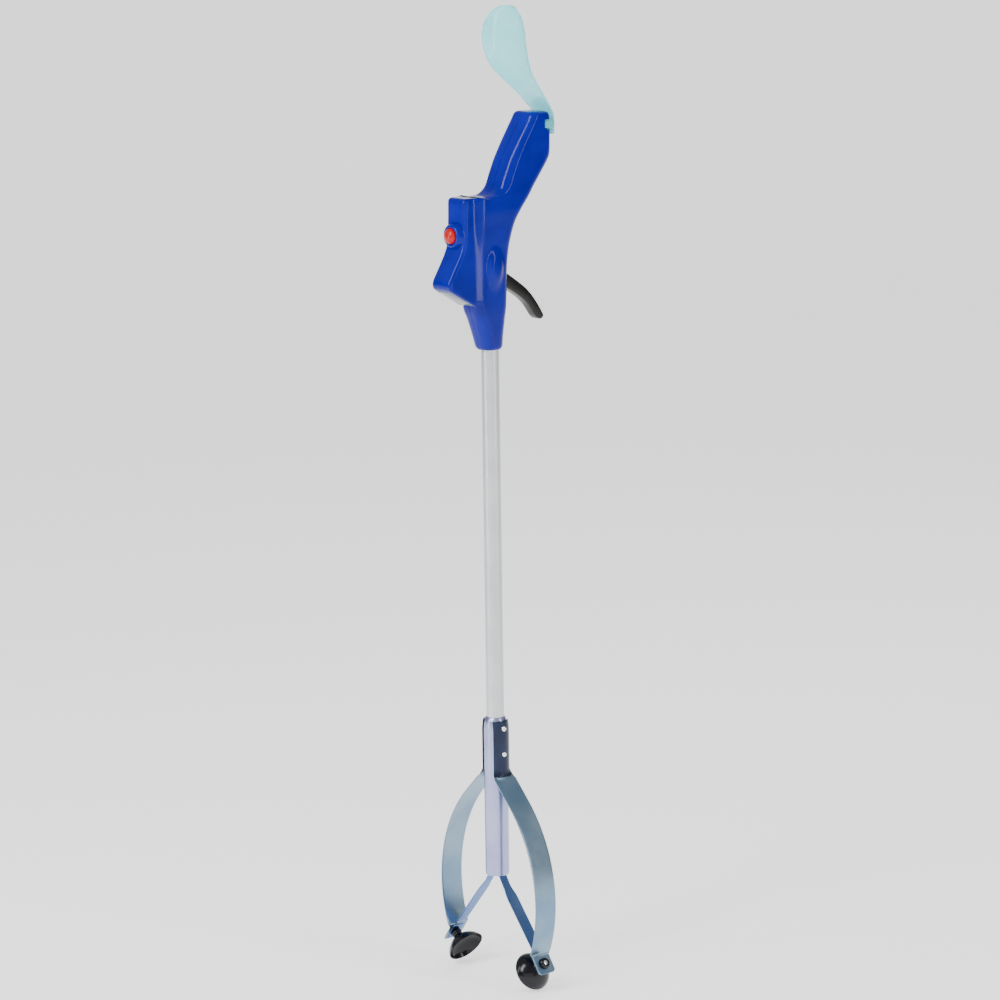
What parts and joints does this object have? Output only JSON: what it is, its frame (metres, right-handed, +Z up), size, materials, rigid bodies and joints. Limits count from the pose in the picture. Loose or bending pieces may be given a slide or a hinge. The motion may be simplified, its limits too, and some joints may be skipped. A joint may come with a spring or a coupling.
{
  "type": "reacher grabber",
  "caption": "Reacher grabber: pistol handle with torch and trigger, aluminium tube, bowed spring-steel jaws with suction cups, clip-on shoehorn.",
  "frame": {"origin": "on the tube's axis, level with the trigger's pivot", "axes": "+Z up along the tube towards the handle, +X the direction in which the right jaw opens, +Y towards the trigger side"},
  "size_m": [0.14, 0.1242, 0.8919],
  "materials": {
    "blue_plastic": "glossy moulded",
    "red_plastic": "glossy moulded",
    "black_plastic": "satin moulded",
    "white_plastic": "natural",
    "clear_cyan": "clear tinted plastic",
    "clear_lens": "clear plastic",
    "mirror_metal": "metallised",
    "circuit_board": "laminate",
    "cell_jacket": "plain jacket",
    "bright_steel": "plated",
    "satin_aluminium": "satin anodised",
    "polished_sleeve": "polished",
    "spring_steel": "blued, smooth",
    "pull_strap_steel": "smooth",
    "black_rubber": "glossy"
  },
  "bodies": {
    "grabber_frame": {"handle_shell_left": "blue_plastic", "handle_shell_right": "blue_plastic", "end_cap": "blue_plastic", "handle_screws": "bright_steel", "torch_case": "blue_plastic", "battery_door": "blue_plastic", "torch_lens": "clear_lens", "torch_reflector": "mirror_metal", "torch_led": "white_plastic", "torch_board": "circuit_board", "battery_cells": "cell_jacket", "battery_contacts": "bright_steel", "switch_body": "black_plastic", "trigger_pin": "bright_steel", "return_spring": "bright_steel", "main_tube": "satin_aluminium", "tube_pin": "bright_steel", "rod_bush_upper": "white_plastic", "rod_bush_lower": "white_plastic", "sleeve": "polished_sleeve", "sleeve_bush": "white_plastic", "strap_root_left": "spring_steel", "strap_root_right": "spring_steel", "strap_rivets": "bright_steel", "shoehorn": "clear_cyan"},
    "trigger": {"trigger_lever": "black_plastic"},
    "button": {"torch_button": "red_plastic"},
    "rod_assembly": {"pull_rod": "bright_steel", "rod_end": "black_plastic", "cross_pin": "bright_steel", "strap_yoke": "black_plastic", "yoke_screws": "bright_steel", "yoke_strap_left": "pull_strap_steel", "yoke_strap_right": "pull_strap_steel"},
    "jaw_left": {"outer_strap_left": "spring_steel", "strap_foot_left": "pull_strap_steel", "tab_screw_left": "bright_steel", "cup_knob_left": "black_rubber", "suction_cup_left": "black_rubber"},
    "jaw_right": {"outer_strap_right": "spring_steel", "strap_foot_right": "pull_strap_steel", "tab_screw_right": "bright_steel", "cup_knob_right": "black_rubber", "suction_cup_right": "black_rubber"},
    "link_left": {"inner_strap_left": "pull_strap_steel"},
    "link_right": {"inner_strap_right": "pull_strap_steel"}
  },
  "joints": [
    {"name": "trigger_squeeze", "type": "hinge", "parent": "grabber_frame", "child": "trigger", "pos_m": [0, -0.0155, 0], "axis": [1, 0, 0], "range_deg": [0, 34.94], "stiffness_Nm_per_rad": 0.5, "springref_deg": -14.32},
    {"name": "rod_lift", "type": "slide", "parent": "grabber_frame", "child": "rod_assembly", "axis": [0, 0, 1], "range_m": [0, 0.01105], "deforming": ["return_spring"]},
    {"name": "jaw_left_close", "type": "hinge", "parent": "grabber_frame", "child": "jaw_left", "pos_m": [-0.0115, 0, -0.464], "axis": [0, -1, 0], "range_deg": [0, 13.05]},
    {"name": "jaw_right_close", "type": "hinge", "parent": "grabber_frame", "child": "jaw_right", "pos_m": [0.0115, 0, -0.464], "axis": [0, 1, 0], "range_deg": [0, 13.05]},
    {"name": "link_left_fold", "type": "hinge", "parent": "rod_assembly", "child": "link_left", "pos_m": [-0.0065, 0, -0.56], "axis": [0, -1, 0], "range_deg": [0, 29.2]},
    {"name": "link_right_fold", "type": "hinge", "parent": "rod_assembly", "child": "link_right", "pos_m": [0.0065, 0, -0.56], "axis": [0, 1, 0], "range_deg": [0, 29.2]},
    {"name": "button_press", "type": "slide", "parent": "grabber_frame", "child": "button", "axis": [0, 1, 0], "range_m": [0, 0.0015], "stiffness_N_per_m": 600, "springref_m": -0.0008}
  ],
  "couplings": [
    {"joint": "rod_lift", "follows": "trigger_squeeze", "m_per_rad": 0.017765},
    {"joint": "jaw_left_close", "follows": "trigger_squeeze", "ratio": 0.36722},
    {"joint": "jaw_right_close", "follows": "trigger_squeeze", "ratio": 0.36722},
    {"joint": "link_left_fold", "follows": "trigger_squeeze", "ratio": 0.82307},
    {"joint": "link_right_fold", "follows": "trigger_squeeze", "ratio": 0.82307}
  ]
}
